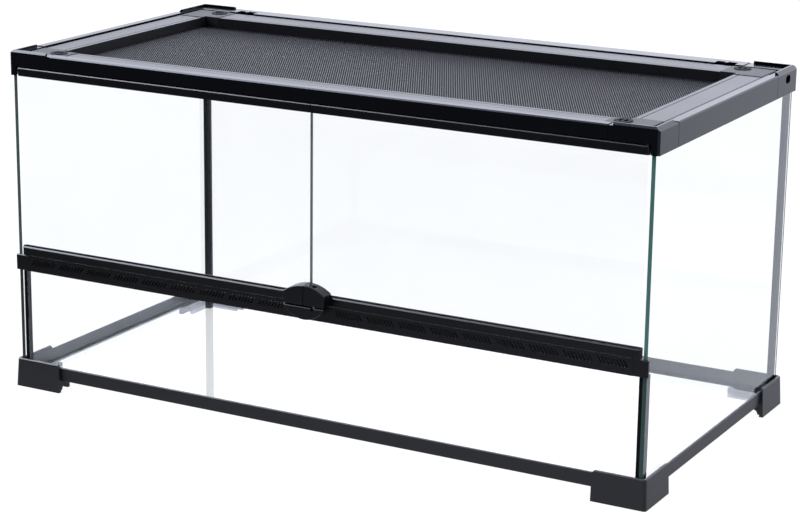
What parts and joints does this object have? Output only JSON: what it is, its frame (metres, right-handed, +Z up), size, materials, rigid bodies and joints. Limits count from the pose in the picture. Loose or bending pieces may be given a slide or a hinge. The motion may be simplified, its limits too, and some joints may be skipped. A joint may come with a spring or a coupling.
{
  "type": "glass terrarium",
  "caption": "Long front-opening glass terrarium with black plastic frame, two hinged glass doors over a slotted vent bar, and a lift-off mesh lid with turn locks.",
  "frame": {"origin": "On the ground under the middle of the whole box, handles and feet included.", "axes": "+X along the long side, to the right when facing the doors; +Y from the doors to the back; +Z up."},
  "size_m": [0.9064, 0.4698, 0.4518],
  "materials": {
    "black_plastic": "black moulded plastic with a slight sheen",
    "clear_glass": "clear float glass with a faint green edge",
    "lid_net": "fine dark coated expanded net",
    "pin_steel": "plain steel pin",
    "lock_metal": "bright plated lock barrel"
  },
  "bodies": {
    "tank": {"floor_glass": "clear_glass", "back_glass": "clear_glass", "lower_front_glass": "clear_glass", "left_glass": "clear_glass", "right_glass": "clear_glass", "bottom_left_rail": "black_plastic", "bottom_right_rail": "black_plastic", "bottom_front_rail": "black_plastic", "bottom_back_rail": "black_plastic", "front_left_foot": "black_plastic", "front_right_foot": "black_plastic", "back_left_foot": "black_plastic", "back_right_foot": "black_plastic", "front_left_post": "black_plastic", "front_right_post": "black_plastic", "back_left_post": "black_plastic", "back_right_post": "black_plastic", "vent_bar": "black_plastic", "vent_left_end": "black_plastic", "vent_right_end": "black_plastic", "top_left_rail": "black_plastic", "top_right_rail": "black_plastic", "top_front_rail": "black_plastic", "top_back_rail": "black_plastic", "front_left_cap": "black_plastic", "front_right_cap": "black_plastic", "back_left_cap": "black_plastic", "back_right_cap": "black_plastic", "latch_base": "black_plastic"},
    "lid": {"lid_left_bar": "black_plastic", "lid_right_bar": "black_plastic", "lid_front_bar": "black_plastic", "lid_back_bar": "black_plastic", "lid_front_left_corner": "black_plastic", "lid_front_right_corner": "black_plastic", "lid_back_left_corner": "black_plastic", "lid_back_right_corner": "black_plastic", "lid_mesh": "lid_net"},
    "left_door": {"left_door_glass": "clear_glass", "left_door_top_strip": "black_plastic", "left_door_bottom_strip": "black_plastic", "left_hinge_pins": "pin_steel", "left_handle": "black_plastic"},
    "right_door": {"right_door_glass": "clear_glass", "right_door_top_strip": "black_plastic", "right_door_bottom_strip": "black_plastic", "right_hinge_pins": "pin_steel", "right_handle": "black_plastic"},
    "door_lock": {"lock_barrel": "lock_metal"},
    "lid_lock_front_left": {"lid_lock_front_left": "black_plastic"},
    "lid_lock_front_right": {"lid_lock_front_right": "black_plastic"},
    "lid_lock_back_left": {"lid_lock_back_left": "black_plastic"},
    "lid_lock_back_right": {"lid_lock_back_right": "black_plastic"},
    "cable_gate_left": {"cable_gate_left": "black_plastic"},
    "cable_gate_right": {"cable_gate_right": "black_plastic"}
  },
  "joints": [
    {"name": "left_door_swing", "type": "hinge", "parent": "tank", "child": "left_door", "pos_m": [-0.4345, -0.21485, 0.3], "axis": [0, 0, -1], "range_deg": [0, 110]},
    {"name": "right_door_swing", "type": "hinge", "parent": "tank", "child": "right_door", "pos_m": [0.4345, -0.21485, 0.3], "axis": [0, 0, 1], "range_deg": [0, 110]},
    {"name": "door_lock_turn", "type": "hinge", "parent": "right_door", "child": "door_lock", "pos_m": [0.012, -0.22685, 0.19], "axis": [0, 0, 1], "range_deg": [0, 90]},
    {"name": "lid_lift", "type": "slide", "parent": "tank", "child": "lid", "axis": [0, 0, 1], "range_m": [0, 0.2]},
    {"name": "lid_lock_front_left_turn", "type": "hinge", "parent": "lid", "child": "lid_lock_front_left", "pos_m": [-0.393, -0.18835, 0.44], "axis": [0, 0, 1], "range_deg": [0, 90]},
    {"name": "lid_lock_front_right_turn", "type": "hinge", "parent": "lid", "child": "lid_lock_front_right", "pos_m": [0.393, -0.18835, 0.44], "axis": [0, 0, -1], "range_deg": [0, 90]},
    {"name": "lid_lock_back_left_turn", "type": "hinge", "parent": "lid", "child": "lid_lock_back_left", "pos_m": [-0.393, 0.18765, 0.44], "axis": [0, 0, -1], "range_deg": [0, 90]},
    {"name": "lid_lock_back_right_turn", "type": "hinge", "parent": "lid", "child": "lid_lock_back_right", "pos_m": [0.393, 0.18765, 0.44], "axis": [0, 0, 1], "range_deg": [0, 90]},
    {"name": "cable_gate_left_slide", "type": "slide", "parent": "tank", "child": "cable_gate_left", "axis": [1, 0, 0], "range_m": [-0.011, 0.011]},
    {"name": "cable_gate_right_slide", "type": "slide", "parent": "tank", "child": "cable_gate_right", "axis": [1, 0, 0], "range_m": [-0.011, 0.011]}
  ]
}
